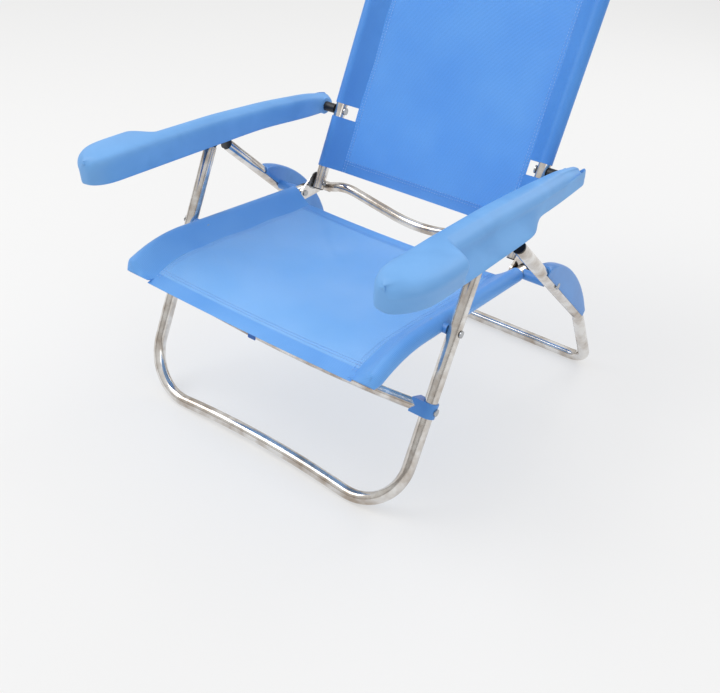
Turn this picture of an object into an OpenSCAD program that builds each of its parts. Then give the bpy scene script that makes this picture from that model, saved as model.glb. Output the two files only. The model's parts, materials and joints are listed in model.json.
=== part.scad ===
// Folding beach chair with a low seat, plastic armrests and a reclining back.
// Millimetres, +Z up, +X to the sitter's left side, +Y towards the back.
// The origin is on the ground under the middle of the chair's box.
// Side-view points are [y, z], with y measured from the line where the front legs meet the ground.

/* [Tubes] */
// Outside diameter of the frame tubes
tube_d = 22; // [20:1:24]
// Wall thickness of every tube
tube_wall = 1.5; // [1:0.1:2]
// Outside diameter of the two cross braces
brace_d = 19; // [16:1:20]

/* [Front legs] */
// Distance from the middle of the chair to a front leg
front_half_w = 280; // [277:1:282]
// Angle between a front leg and the ground
leg_angle = 66; // [64:1:68]
// Bend radius of the two corners on the ground
front_corner_r = 90; // [70:1:110]
// How far the ground bar turns upwards from each corner to the middle
bar_arch_angle = 5; // [3:0.5:8]
// Height of the pivot that joins a front leg to the seat
front_pivot_z = 298; // [296:1:300]
// Height of the latch pin at the top of a front leg
latch_z = 430; // [428:1:431]
// Height at which the front brace meets the legs
brace_z = 182; // [150:1:200]
// How far the middle of the front brace hangs below its ends
brace_drop = 12; // [8:1:20]

/* [Rear legs] */
// Distance from the middle of the chair to a rear leg at the seat pivot
rear_half_w = 310; // [308:1:312]
// How far a rear leg has spread outwards between its pivot and the ground
rear_splay = 8; // [6:1:10]
// Distance from the front ground line to the rear ground bar
rear_foot_y = 628; // [620:1:640]
// Bend radius of the two rear corners on the ground
rear_corner_r = 34; // [30:1:50]
// Angle between the lower part of a rear leg and the ground
rear_lower_angle = 59; // [57:1:61]
// Angle between the upper part of a rear leg and the ground
rear_upper_angle = 40.5; // [40:0.5:42]
// Bend radius of a rear leg's knee
knee_r = 90; // [70:1:120]

/* [Seat] */
// Distance from the middle of the chair to a seat rail
rail_half_w = 250; // [249:1:251]
// Slope of a seat rail, falling towards the back
rail_slope = 3.7; // [3:0.1:4.5]
// How far a rail turns down at the sitter's knees
rail_nose_angle = 24; // [20:1:28]
// Bend radius of that turn
rail_nose_r = 250; // [200:10:300]
// How far the fabric hangs below the rails in the middle
seat_sag = 22; // [10:1:28]
// Thickness of the sling fabric
fabric_t = 1.4; // [1.2:0.1:2]

/* [Back] */
// Distance from the middle of the chair to a side of the back frame
back_half_w = 221; // [219:1:221]
// Length of the back frame from its pivot to the middle of its top bar
back_len = 620; // [560:5:640]
// Bend radius of the back frame's two top corners
back_corner_r = 75; // [60:1:90]

/* [Armrests] */
// Inner edge of an armrest, from the middle of the chair
arm_inner_x = 257; // [256:1:258]
// Outer edge of an armrest's front pad
arm_pad_x = 336; // [330:1:338]
// Wall thickness of an armrest
arm_wall = 3; // [2.5:0.1:3.5]
// Foremost point of an armrest
arm_nose_y = -78; // [-90:1:-70]
// Number of notches under an armrest
notches = 7; // [5:1:7]

/* [Hidden] */
$fn = 48;

tube_r = tube_d / 2;
bore_r = tube_r - tube_wall;
brace_r = brace_d / 2;
slip = 0.05; // radial play of a pin in its hole

// Side-view points of the pivots
function on_leg(z) = [z / tan(leg_angle), z];
front_pivot = on_leg(front_pivot_z);
latch = on_leg(latch_z);
rear_pivot = [396, 281];
back_pivot = [425, 300];
arm_pivot = back_pivot + latch - front_pivot;

// The box of the whole chair runs from the armrests' noses to the top of the back
y_mid = (arm_nose_y + back_pivot[0] + back_len * cos(leg_angle) + tube_r) / 2;

rivet_r = 3;
rivet_head_r = 6;
rivet_head_t = 2;
bolt_r = 4;
bolt_head_r = 7;
latch_head_r = 7;
tab_x = 234; // inner face of the rear brace's flattened ends
tab_t = 4;
end_cap_r = 11.9;
plug_fit = 0.1;

steel = "silver";
plastic = "cornflowerblue";
cloth = "lightskyblue";
black = "#222222";

// Moves side-view geometry into the chair's own frame
module seated() { translate([0, -y_mid, 0]) children(); }

// Draws the children on both sides of the chair
module both_sides() {
    children();
    mirror([1, 0, 0]) children();
}

// Local X runs in the side view from point p at the given angle, local Z runs along the chair's X
module side(p, angle = 0) {
    translate([0, p[0], p[1]]) rotate([90, 0, 90]) rotate([0, 0, angle]) children();
}

// A cylinder along the chair's X at side-view point p, from x0 to x1
module pin(p, x0, x1, r) {
    translate([x0, p[0], p[1]]) rotate([0, 90, 0]) cylinder(h = x1 - x0, r = r);
}

// A washer or a bush along the chair's X
module collar(p, x0, x1, r, hole) {
    difference() {
        pin(p, x0, x1, r);
        pin(p, x0 - 1, x1 + 1, hole);
    }
}

// A rivet along the chair's X, with a low head outside each of its two faces
module rivet(p, x0, x1, r = rivet_r, head = rivet_head_r) {
    pin(p, x0, x1, r);
    pin(p, x0 - rivet_head_t, x0, head);
    pin(p, x1, x1 + rivet_head_t, head);
}

// Sweeps a section along a path of straights [length] and bends [radius, angle, roll].
// A positive angle turns towards local Y. In the section x lies along local Y and y along local Z.
module sweep(path, i = 0) {
    if (i < len(path)) {
        step = path[i];
        if (len(step) == 1) {
            rotate([90, 0, 90]) linear_extrude(step[0]) children();
            translate([step[0], 0, 0]) sweep(path, i + 1) children();
        } else {
            turn = abs(step[1]);
            flip = step[1] < 0 ? 1 : 0;
            rotate([len(step) > 2 ? step[2] : 0, 0, 0]) {
                mirror([0, flip, 0]) translate([0, step[0], 0]) rotate([0, 0, -90])
                    rotate_extrude(angle = turn, $fn = 96)
                        translate([step[0], 0]) mirror([1 - flip, 0]) children();
                translate([step[0] * sin(turn), sign(step[1]) * step[0] * (1 - cos(turn)), 0])
                    rotate([0, 0, step[1]]) sweep(path, i + 1) children();
            }
        }
    }
}

// Places the children at the end of a path
module walk(path, i = 0) {
    if (i < len(path)) {
        step = path[i];
        if (len(step) == 1) {
            translate([step[0], 0, 0]) walk(path, i + 1) children();
        } else {
            turn = abs(step[1]);
            rotate([len(step) > 2 ? step[2] : 0, 0, 0])
                translate([step[0] * sin(turn), sign(step[1]) * step[0] * (1 - cos(turn)), 0])
                    rotate([0, 0, step[1]]) walk(path, i + 1) children();
        }
    } else {
        children();
    }
}

// A round bar along a path. Its pieces are thick and thin in turn, and a thin one, a hair slimmer,
// reaches a little way into the thick pieces at its ends, so that they join as one solid.
hair = 0.08;
lap = 0.5;
module bar(path, r, thin = false, i = 0) {
    if (i < len(path)) {
        step = path[i];
        grow = thin ? lap : 0;
        own_r = thin ? r - hair : r;
        if (len(step) == 1) {
            translate([-grow, 0, 0]) rotate([0, 90, 0]) cylinder(h = step[0] + 2 * grow, r = own_r);
            translate([step[0], 0, 0]) bar(path, r, !thin, i + 1);
        } else {
            turn = abs(step[1]);
            more = grow * 180 / (PI * step[0]);
            rotate([len(step) > 2 ? step[2] : 0, 0, 0]) {
                mirror([0, step[1] < 0 ? 1 : 0, 0]) translate([0, step[0], 0])
                    rotate([0, 0, -90 - more]) rotate_extrude(angle = turn + 2 * more, $fn = 96)
                        translate([step[0], 0]) circle(own_r);
                translate([step[0] * sin(turn), sign(step[1]) * step[0] * (1 - cos(turn)), 0])
                    rotate([0, 0, step[1]]) bar(path, r, !thin, i + 1);
            }
        }
    }
}

// An arc in the XY plane, centred on the Y axis with its middle at the origin
module arc_bar(arc_r, half_angle, r) {
    translate([0, -arc_r, 0]) rotate([0, 0, 90 - half_angle])
        rotate_extrude(angle = 2 * half_angle, $fn = 256) translate([arc_r, 0]) circle(r);
}

// ---- Front legs: one tube bent into a U, its ground bar slightly arched

arch_r = (front_half_w - front_corner_r * (1 + sin(bar_arch_angle))) / sin(bar_arch_angle);
ground_s = tube_r / sin(leg_angle);
bar_mid_s = ground_s + (arch_r + front_corner_r) * (1 - cos(bar_arch_angle));
leg_top_s = latch_z / sin(leg_angle) - latch_head_r - 0.2;
leg_path = [
    [front_corner_r, 90 + bar_arch_angle],
    [leg_top_s - ground_s - front_corner_r]
];
brace_s = brace_z / sin(leg_angle);

// Local X runs along the chair's X, local Y up the legs
module on_leg_plane(s) {
    rotate([leg_angle, 0, 0]) translate([0, s, 0]) children();
}

module front_leg_bar(r, over = 0) {
    on_leg_plane(bar_mid_s) {
        arc_bar(arch_r, bar_arch_angle, r);
        both_sides() translate([arch_r * sin(bar_arch_angle), -arch_r * (1 - cos(bar_arch_angle)), 0])
            rotate([0, 0, -bar_arch_angle]) bar([leg_path[0], leg_path[1] + [over]], r, true);
    }
}
module front_leg_frame() {
    color(steel) seated() difference() {
        front_leg_bar(tube_r);
        front_leg_bar(bore_r, 1);
        both_sides() pin(front_pivot, front_half_w - 20, front_half_w + 20, rivet_r + slip);
        both_sides() pin(on_leg(brace_z), front_half_w - 20, front_half_w + 20, rivet_r + slip);
    }
}

brace_bow_r = (pow(front_half_w, 2) + pow(brace_drop, 2)) / (2 * brace_drop);
brace_gap = 3; // between the brace's end and the leg
brace_end_x = front_half_w - tube_r - brace_gap;

module front_brace() {
    half_angle = asin(brace_end_x / brace_bow_r);
    color(steel) seated() difference() {
        on_leg_plane(brace_s - brace_drop) mirror([0, 1, 0]) difference() {
            arc_bar(brace_bow_r, half_angle, brace_r);
            arc_bar(brace_bow_r, half_angle + 1, brace_r - tube_wall);
        }
        both_sides() pin(on_leg(brace_z), brace_end_x - 30, front_half_w, rivet_r + slip);
    }
}

// A saddle round the leg with a forked tongue along the brace
clip_r = 13.5;
clip_h = 24;
clip_tongue = 26; // from the leg's middle line to the end of the fork
module brace_clip() {
    color(plastic) seated() difference() {
        on_leg_plane(brace_s) {
            translate([front_half_w, clip_h / 2, 0]) rotate([90, 0, 0]) cylinder(h = clip_h, r = clip_r);
            translate([front_half_w - clip_tongue, -clip_h / 2, -clip_r]) cube([clip_tongue, clip_h, 2 * clip_r]);
        }
        on_leg_plane(brace_s) {
            translate([front_half_w, clip_h, 0]) rotate([90, 0, 0])
                cylinder(h = 2 * clip_h, r = tube_r + plug_fit);
            translate([front_half_w, 0, 0]) rotate([0, 0, asin((front_half_w - 18) / brace_bow_r)])
                translate([-60, 0, 0]) rotate([0, 90, 0]) cylinder(h = 60 - tube_r, r = brace_r + 0.5);
            translate([front_half_w - clip_tongue - 3, 0, -30]) rotate([0, 0, 45])
                translate([-8, -8, 0]) cube([16, 16, 60]);
        }
        pin(on_leg(brace_z), front_half_w - 60, front_half_w + 30, rivet_r + slip);
    }
}
module brace_clip_left() { brace_clip(); }
module brace_clip_right() { mirror([1, 0, 0]) brace_clip(); }

module clip_rivets() {
    color(steel) seated() both_sides() {
        pin(on_leg(brace_z), brace_end_x - 24, front_half_w + clip_r, rivet_r);
        pin(on_leg(brace_z), front_half_w + clip_r, front_half_w + clip_r + rivet_head_t, rivet_head_r);
    }
}

// A moulded plug in the top of each front leg, with a round head across it for the notches
latch_half_w = 9;
module latch_plugs() {
    color(black) seated() both_sides() difference() {
        union() {
            pin(latch, front_half_w - latch_half_w, front_half_w + latch_half_w, latch_head_r);
            on_leg_plane(leg_top_s - 24) translate([front_half_w, 0, 0]) rotate([-90, 0, 0])
                cylinder(h = 26, r = bore_r - plug_fit);
        }
        pin(latch, front_half_w - 20, front_half_w + 20, rivet_r + slip);
    }
}
module latch_pins() {
    color(steel) seated() both_sides()
        pin(latch, front_half_w - latch_half_w - 2, front_half_w + latch_half_w + 2, rivet_r);
}

// ---- Rear legs: a wider U with a knee in each side

// Where the upper and the lower part of a rear leg would meet without the knee's bend
slope_up = tan(rear_upper_angle);
slope_low = tan(rear_lower_angle);
knee_z = (rear_pivot[1] - slope_up * (rear_foot_y - rear_pivot[0] + tube_r / slope_low))
    / (1 - slope_up / slope_low);
knee_s = (knee_z - tube_r) / sin(rear_lower_angle);
knee_turn = rear_lower_angle - rear_upper_angle;
knee_tangent = knee_r * tan(knee_turn / 2);
pivot_from_knee = (rear_pivot[1] - knee_z) / sin(rear_upper_angle);
splay_angle = asin(rear_splay / (knee_s - rear_corner_r + pivot_from_knee));
leg_past_pivot = 186;
rear_bar_half = rear_half_w + rear_splay - rear_corner_r;
rear_path_to_pivot = [
    [rear_corner_r, 90 + splay_angle],
    [knee_s - rear_corner_r - knee_tangent],
    [knee_r, knee_turn, 90],
    [pivot_from_knee - knee_tangent]
];
function rear_path(over = 0) = [
    for (i = [0 : 2]) rear_path_to_pivot[i],
    [pivot_from_knee - knee_tangent + leg_past_pivot + over]
];

// Local X along the chair's X, local Y up along the lower part, from the left end of the ground bar
module on_rear_plane() {
    translate([rear_bar_half, rear_foot_y, tube_r]) rotate([180 - rear_lower_angle, 0, 0]) children();
}

module rear_leg_bar(r, over = 0) {
    translate([-rear_bar_half, rear_foot_y, tube_r]) rotate([0, 90, 0])
        cylinder(h = 2 * rear_bar_half, r = r);
    both_sides() on_rear_plane() bar(rear_path(over), r, true);
}
module rear_leg_frame() {
    color(steel) seated() difference() {
        rear_leg_bar(tube_r);
        rear_leg_bar(bore_r, 1);
        both_sides() pin(rear_pivot, rear_half_w - 20, rear_half_w + 20, rivet_r + slip);
    }
}

module rear_leg_plugs() {
    color(black) seated() both_sides() on_rear_plane() walk(rear_path()) rotate([0, 90, 0]) {
        cylinder(h = 3, r = tube_r - 0.4);
        translate([0, 0, -14]) cylinder(h = 14, r = bore_r - plug_fit);
    }
}

// A crescent bumper along the back of a rear leg, from above its pivot down to its knee
bumper_w = 22;
bumper_top = 60; // above the pivot, along the leg
bumper_end = -186;
bumper_rise = 46; // from the leg's middle line to the crown
bumper_lip = 10;
bumper_r = (pow((bumper_top - bumper_end) / 2, 2) + pow(bumper_rise, 2)) / (2 * bumper_rise);
bumper_mid = (bumper_top + bumper_end) / 2;
screws_at = [bumper_top - 30, bumper_end + 45];

// Local X up along the leg, local Y away from the bumper, from the leg's pivot
module at_rear_pivot() {
    on_rear_plane() walk(rear_path_to_pivot) children();
}
module heel_bumper() {
    color(plastic) seated() difference() {
        at_rear_pivot() intersection() {
            translate([bumper_mid, bumper_r - bumper_rise, -bumper_w / 2])
                cylinder(h = bumper_w, r = bumper_r, $fn = 180);
            translate([bumper_end - 10, -bumper_rise - 10, -bumper_w])
                cube([bumper_top - bumper_end + 20, bumper_rise + 10 - bumper_lip, 2 * bumper_w]);
        }
        on_rear_plane() bar(rear_path(), tube_r + plug_fit, true);
        at_rear_pivot() for (at = screws_at)
            translate([at, -bumper_rise - 1, 0]) rotate([-90, 0, 0])
                cylinder(h = bumper_rise, r = 2 + slip);
    }
}
module heel_bumper_left() { heel_bumper(); }
module heel_bumper_right() { mirror([1, 0, 0]) heel_bumper(); }

// Each screw passes the bumper into the leg's near wall
module bumper_screws() {
    color(steel) seated() both_sides() difference() {
        at_rear_pivot() for (at = screws_at) translate([at, 0, 0]) rotate([90, 0, 0])
            translate([0, 0, tube_r + 0.2]) cylinder(h = bumper_rise - 22 - tube_r, r = 2);
        on_rear_plane() bar(rear_path(), tube_r + plug_fit, true);
    }
}

// ---- Seat: two rails, the rear brace and the sling between them

rail_past_pivot = 14;
rail_nose_y = 85; // where a rail begins to turn down
rail_dir = 180 - rail_slope;
rail_straight = (rear_pivot[0] - rail_nose_y) / cos(rail_slope);
rail_tip = 8;
rail_path = [[rail_past_pivot + rail_straight], [rail_nose_r, rail_nose_angle], [rail_tip]];
rail_start = rear_pivot - rail_past_pivot * [cos(rail_dir), sin(rail_dir)];
rail_in_x = rail_half_w - tube_r;
rail_out_x = rail_half_w + tube_r;

module rail_bar(r, over = 0) {
    translate([rail_half_w, 0, 0]) side(rail_start, rail_dir) translate([-over, 0, 0])
        bar([rail_path[0] + [over], rail_path[1], rail_path[2] + [over]], r);
}
module seat_rail() {
    color(steel) seated() difference() {
        rail_bar(tube_r);
        rail_bar(bore_r, 1);
        pin(rear_pivot, rail_in_x - 5, rail_out_x + 5, rivet_r + slip);
        pin(front_pivot, rail_in_x - 5, rail_out_x + 5, rivet_r + slip);
    }
}
module seat_rail_left() { seat_rail(); }
module seat_rail_right() { mirror([1, 0, 0]) seat_rail(); }

module rail_front_plugs() {
    color(black) seated() both_sides() translate([rail_half_w, 0, 0])
        side(rail_start, rail_dir) walk(rail_path) rotate([0, 90, 0]) {
            cylinder(h = 3, r = tube_r - 0.4);
            translate([0, 0, -14]) cylinder(h = 14, r = bore_r - plug_fit);
        }
}

// A cap over the rear end of each rail
end_cap_len = 7;
module rail_end_caps() {
    color(black) seated() both_sides() translate([rail_half_w, 0, 0])
        side(rail_start, rail_dir + 180) rotate([0, 90, 0]) difference() {
            translate([0, 0, 3 - end_cap_len]) cylinder(h = end_cap_len, r = end_cap_r);
            translate([0, 0, -end_cap_len]) cylinder(h = end_cap_len, r = tube_r + plug_fit / 2);
        }
}

spacer_r = 8;
spacer_gap = 0.3; // to the leg that turns against it
module front_pivot_spacers() {
    color(plastic) seated() both_sides() difference() {
        pin(front_pivot, rail_half_w + 2, front_half_w - tube_r - spacer_gap, spacer_r);
        pin(front_pivot, rail_half_w, front_half_w, rivet_r + slip);
        rail_bar(tube_r + plug_fit);
    }
}
module rear_pivot_spacers() {
    color(plastic) seated() both_sides() difference() {
        pin(rear_pivot, rail_half_w + 2, rear_half_w - tube_r - spacer_gap, spacer_r + 1);
        pin(rear_pivot, rail_half_w, rear_half_w, rivet_r + slip);
        rail_bar(tube_r + plug_fit);
    }
}

rivet_gap = 0.2; // under a rivet's head
module front_pivot_rivets() {
    color(steel) seated() both_sides()
        rivet(front_pivot, rail_in_x - rivet_gap, front_half_w + tube_r + rivet_gap);
}
module rear_pivot_rivets() {
    color(steel) seated() both_sides()
        rivet(rear_pivot, tab_x - rivet_gap, rear_half_w + tube_r + 3 * rivet_gap);
}

// The rear brace hangs in the middle. Its ends are flattened into tabs on the rails' inner sides.
rear_brace_start = [448, 284];
tab_r = 13;
brace_rise_angle = 18;
brace_fall_angle = 14;
brace_shoulder_r = 80;
brace_shoulder_x = 215;
brace_mid_half = 60;
brace_rise_len = 26;
brace_plane_angle = 105; // of the plane that holds the brace, from the ground
brace_mid_r = brace_mid_half / sin(brace_fall_angle);
brace_fall_len = (brace_shoulder_x - brace_rise_len * cos(brace_rise_angle) - brace_mid_half
    - brace_shoulder_r * (sin(brace_rise_angle) + sin(brace_fall_angle))) / cos(brace_fall_angle);
rear_brace_path = [
    [brace_rise_len],
    [brace_shoulder_r, -brace_rise_angle - brace_fall_angle],
    [brace_fall_len]
];
// How far the middle of the rear brace lies below its ends, in its own plane
brace_mid_drop = -brace_rise_len * sin(brace_rise_angle)
    - brace_shoulder_r * (cos(brace_fall_angle) - cos(brace_rise_angle))
    + brace_fall_len * sin(brace_fall_angle) + brace_mid_r * (1 - cos(brace_fall_angle));

// A flat plate in the side view with round ends at p and q
module side_bar(p, q, x0, t, r) {
    d = q - p;
    translate([x0, 0, 0]) side(p, atan2(d[1], d[0])) {
        cylinder(h = t, r = r);
        translate([norm(d), 0, 0]) cylinder(h = t, r = r);
        translate([0, 2 * hair - r, hair]) cube([norm(d), 2 * (r - 2 * hair), t - 2 * hair]);
    }
}
module on_brace_plane() {
    translate([0, rear_brace_start[0], rear_brace_start[1]]) rotate([brace_plane_angle, 0, 0])
        children();
}
module rear_brace() {
    color(steel) seated() both_sides() {
        difference() {
            union() {
                side_bar(rear_pivot, rear_brace_start, tab_x, tab_t, tab_r);
                side_bar(rear_pivot, back_pivot, tab_x + hair, tab_t - 2 * hair, tab_r - hair);
            }
            pin(rear_pivot, tab_x - 5, tab_x + 10, rivet_r + slip);
            pin(back_pivot, tab_x - 5, tab_x + 10, rivet_r + slip);
        }
        pin(rear_brace_start, brace_shoulder_x - 4, tab_x + tab_t / 2, brace_r + 0.1);
        on_brace_plane() translate([brace_shoulder_x, 0, 0]) mirror([1, 0, 0])
            rotate([0, 0, brace_rise_angle]) bar(rear_brace_path, brace_r, true);
    }
    color(steel) seated() on_brace_plane() translate([0, -brace_mid_drop, 0]) mirror([0, 1, 0])
        arc_bar(brace_mid_r, brace_fall_angle, brace_r);
}

// The sling's sleeves go round the rails, and its middle hangs between them
sleeve_in = tube_r + 0.1;
sleeve_out = tube_r + fabric_t;
sag_steps = 12;
function sag_at(x, half, sag) = sag * (1 - pow(x / half, 2));
module sling_section(half, sag) {
    for (s = [-1, 1]) translate([0, s * half]) difference() {
        circle(sleeve_out);
        circle(sleeve_in);
    }
    reach = half - sleeve_in;
    xs = [for (i = [0 : sag_steps]) -reach + 2 * reach * i / sag_steps];
    polygon(concat(
        [for (x = xs) [sag_at(x, reach, sag) - fabric_t / 2, x]],
        [for (i = [sag_steps : -1 : 0]) [sag_at(xs[i], reach, sag) + fabric_t / 2, xs[i]]]
    ));
}
sling_rear_gap = 22; // from the rear pivot to the sling's rear hem
sling_path = [[rail_straight - sling_rear_gap], [rail_nose_r, rail_nose_angle], [rail_tip + 4]];
module seat_sling() {
    color(cloth) seated() difference() {
        side(rear_pivot + sling_rear_gap * [cos(rail_dir), sin(rail_dir)], rail_dir)
            sweep(sling_path) sling_section(rail_half_w, seat_sag);
        both_sides() pin(front_pivot, rail_half_w, rail_half_w + 30, spacer_r + 1);
        both_sides() pin(front_pivot, rail_half_w - 30, rail_half_w, rivet_head_r + 1);
    }
}

// A short webbing strap on the front hem, which ties the folded chair
strap_w = 14;
strap_y = -12;
strap_top = 259;
strap_h = 26;
module closing_strap() {
    color(plastic) seated() translate([-strap_w / 2, strap_y, strap_top - strap_h])
        cube([strap_w, 2, strap_h]);
}

// ---- Back: an inverted U with a sling, which turns on the rear brace's tabs

back_dir = leg_angle;
back_tube_in = back_half_w - tube_r;
back_tube_out = back_half_w + tube_r;
back_tail = 12; // below the pivot
function back_path(over = 0) = [
    [back_len - back_corner_r + back_tail + over],
    [back_corner_r, 90],
    [2 * (back_half_w - back_corner_r)],
    [back_corner_r, 90],
    [back_len - back_corner_r + back_tail + over]
];
function on_back(t) = back_pivot + t * [cos(back_dir), sin(back_dir)];

// Local X up the left side of the back, local Y towards its right side
module on_back_plane(t = 0) {
    translate([back_half_w, on_back(t)[0], on_back(t)[1]]) rotate([leg_angle, 0, 0])
        rotate([0, 0, 90]) children();
}
module back_frame() {
    color(steel) seated() difference() {
        on_back_plane(-back_tail) bar(back_path(), tube_r);
        on_back_plane(-back_tail - 1) bar(back_path(1), bore_r);
        for (p = [back_pivot, arm_pivot]) both_sides()
            pin(p, back_tube_in - 5, back_tube_out + 5, (p == arm_pivot ? bolt_r : rivet_r) + slip);
    }
}

module back_frame_plugs() {
    color(black) seated() both_sides() difference() {
        on_back_plane(-back_tail) rotate([0, -90, 0]) {
            cylinder(h = 2, r = tube_r - 0.4);
            translate([0, 0, -back_tail + 5]) cylinder(h = back_tail - 5, r = bore_r - plug_fit);
        }
        pin(back_pivot, back_tube_in, back_tube_out, rivet_r + 1);
    }
}

back_hem_t = 32;
back_sling_len = 508;
back_sag = 24;
module back_sling() {
    color(cloth) seated() difference() {
        side(on_back(back_hem_t), back_dir) mirror([0, 1, 0])
            sweep([[back_sling_len]]) sling_section(back_half_w, back_sag);
        both_sides() pin(arm_pivot, back_half_w - 30, back_half_w + 30, bolt_head_r + 3);
    }
}

module back_pivot_rivets() {
    color(steel) seated() both_sides()
        rivet(back_pivot, back_tube_in - rivet_gap, tab_x + tab_t + rivet_gap / 2, head = 5);
}
washer_play = 0.3;
washer_r = 17.5;
module hinge_washers() {
    color(steel) seated() both_sides()
        collar(back_pivot, back_tube_out + washer_play, tab_x - washer_play, washer_r, rivet_r + slip);
}

// ---- Armrests: moulded shells, open below, bolted to the back and resting on the front legs

arm_far_x = 272;
module arm_bolts() {
    color(steel) seated() both_sides() {
        pin(arm_pivot, back_tube_in - 3, arm_far_x + 3, bolt_r);
        pin(arm_pivot, back_tube_in - 3, back_tube_in - rivet_gap, bolt_head_r);
    }
}
module arm_bolt_nuts() {
    color(steel) seated() both_sides()
        collar(arm_pivot, arm_far_x + 0.3, arm_far_x + 5, bolt_head_r, bolt_r);
}
module arm_bushes() {
    color(black) seated() both_sides()
        collar(arm_pivot, back_tube_out + washer_play, arm_inner_x - washer_play, 9, bolt_r + slip);
}

// Side view of the top, from the nose to the rear end, and of the lower edge back to the nose
arm_top = [[arm_nose_y, 448], [arm_nose_y + 5, 466], [-52, 475], [60, 477], [200, 475], [330, 468],
    [440, 460], [498, 450]];
arm_under = [[512, 436], [506, 419], [470, 416], [450, 428], [330, 434], [60, 430], [-60, 429]];
arm_step_y = 58; // where the front pad ends
arm_waist_x = 302; // outer edge behind the pad
arm_end_x = 290;
skirt_end_y = 290;
skirt_bottom = [326, 425];
skirt_top_z = 455;

module arm_side_plate(x0, x1) {
    translate([x0, 0, 0]) rotate([90, 0, 90]) linear_extrude(x1 - x0)
        polygon(concat(arm_top, arm_under));
}
// The plan inside the outer edge, moved in by d
module arm_plan(d) {
    translate([0, 0, 300]) linear_extrude(300) polygon([
        [arm_inner_x + d, arm_nose_y + 12 + d],
        [arm_inner_x + 18, arm_nose_y + d],
        [arm_pad_x - 24, arm_nose_y + 6 + d],
        [arm_pad_x - d, arm_nose_y + 32 + d],
        [arm_pad_x - d, arm_step_y - 8],
        [arm_waist_x - d, arm_step_y + 8 - d],
        [arm_waist_x - d, skirt_end_y + 60],
        [arm_end_x - d, 512 - d],
        [arm_inner_x + d, 512 - d]
    ]);
}
module arm_hollow() {
    intersection() {
        arm_plan(arm_wall);
        translate([arm_inner_x, 0, -2 * arm_wall]) rotate([90, 0, 90]) linear_extrude(100)
            polygon(concat(arm_top, [[512, 300], [arm_nose_y, 300]]));
    }
}
module arm_skirt() {
    translate([0, skirt_end_y, 0]) rotate([90, 0, 0])
        linear_extrude(skirt_end_y - arm_step_y + 4) polygon([
            [arm_waist_x - arm_wall, skirt_top_z + 8],
            [arm_waist_x, skirt_top_z + 8],
            [arm_waist_x, skirt_top_z],
            skirt_bottom,
            skirt_bottom - [arm_wall + 0.5, 0],
            [arm_waist_x - arm_wall, skirt_top_z - 3]
        ]);
}
module armrest() {
    color(plastic) seated() difference() {
        union() {
            difference() {
                intersection() {
                    arm_side_plate(arm_inner_x, arm_pad_x);
                    arm_plan(0);
                }
                arm_hollow();
                // the side behind the pad is open below the skirt's top
                translate([arm_waist_x - 12, arm_step_y + 8, 380])
                    cube([40, skirt_end_y - arm_step_y - 8, skirt_top_z - 380]);
            }
            arm_skirt();
            pin(arm_pivot, arm_inner_x, arm_far_x, 16);
        }
        pin(arm_pivot, arm_inner_x - 5, arm_far_x + 5, bolt_r + slip);
    }
}
module armrest_left() { armrest(); }
module armrest_right() { mirror([1, 0, 0]) armrest(); }

// The rack under each armrest, whose notches drop over the latch plugs
notch_pitch = 14;
rack_half_w = 7;
rack_gap = 1; // above the latch plug's head
notch_depth = 3;
rack_bottom = latch_z + latch_head_r + rack_gap;
rack_front_y = latch[0] - notch_pitch * (notches - 0.5);
rack_rear_y = latch[0] + 6;
rack_top = 468.5;
module notch_rack() {
    color(black) seated() difference() {
        translate([front_half_w - rack_half_w, rack_front_y, rack_bottom])
            cube([2 * rack_half_w, rack_rear_y - rack_front_y, rack_top - rack_bottom]);
        for (i = [0 : notches - 1])
            pin([latch[0] - i * notch_pitch, rack_bottom - latch_head_r + notch_depth],
                front_half_w - 20, front_half_w + 20, latch_head_r + rack_gap);
    }
}
module notch_rack_left() { notch_rack(); }
module notch_rack_right() { mirror([1, 0, 0]) notch_rack(); }

front_leg_frame();
front_brace();
brace_clip_left();
brace_clip_right();
clip_rivets();
latch_plugs();
latch_pins();
rear_leg_frame();
heel_bumper_left();
heel_bumper_right();
bumper_screws();
rear_leg_plugs();
seat_rail_left();
seat_rail_right();
rail_front_plugs();
rail_end_caps();
front_pivot_spacers();
front_pivot_rivets();
rear_pivot_spacers();
rear_pivot_rivets();
rear_brace();
seat_sling();
closing_strap();
back_pivot_rivets();
hinge_washers();
back_frame();
back_sling();
back_frame_plugs();
arm_bolts();
arm_bolt_nuts();
arm_bushes();
armrest_left();
armrest_right();
notch_rack_left();
notch_rack_right();
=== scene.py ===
"""A folding beach chair: bent aluminium tubes, coated mesh slings and moulded armrests."""
import json
import logging
import math
from dataclasses import dataclass, field
from enum import Enum
from typing import Callable, Sequence

import bmesh
import bpy
from mathutils import Matrix, Vector


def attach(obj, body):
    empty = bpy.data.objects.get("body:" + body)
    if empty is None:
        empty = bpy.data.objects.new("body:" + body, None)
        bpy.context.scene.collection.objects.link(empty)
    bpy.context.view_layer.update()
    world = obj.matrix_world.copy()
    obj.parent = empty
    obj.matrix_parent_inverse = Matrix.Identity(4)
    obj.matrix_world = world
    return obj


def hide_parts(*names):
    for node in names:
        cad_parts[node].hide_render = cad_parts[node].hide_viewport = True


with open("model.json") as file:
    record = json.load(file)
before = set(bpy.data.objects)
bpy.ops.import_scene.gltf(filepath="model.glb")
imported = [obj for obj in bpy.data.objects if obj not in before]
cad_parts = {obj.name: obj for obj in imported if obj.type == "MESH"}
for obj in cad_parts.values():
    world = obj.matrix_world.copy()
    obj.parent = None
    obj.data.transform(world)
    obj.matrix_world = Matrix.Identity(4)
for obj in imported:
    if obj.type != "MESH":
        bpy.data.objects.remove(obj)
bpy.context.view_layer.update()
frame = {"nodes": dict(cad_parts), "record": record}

LOG = logging.getLogger("beach_chair")
MM = 0.001
CLOTH_MAP = "cloth_m"
Point = tuple[float, float]


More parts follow.
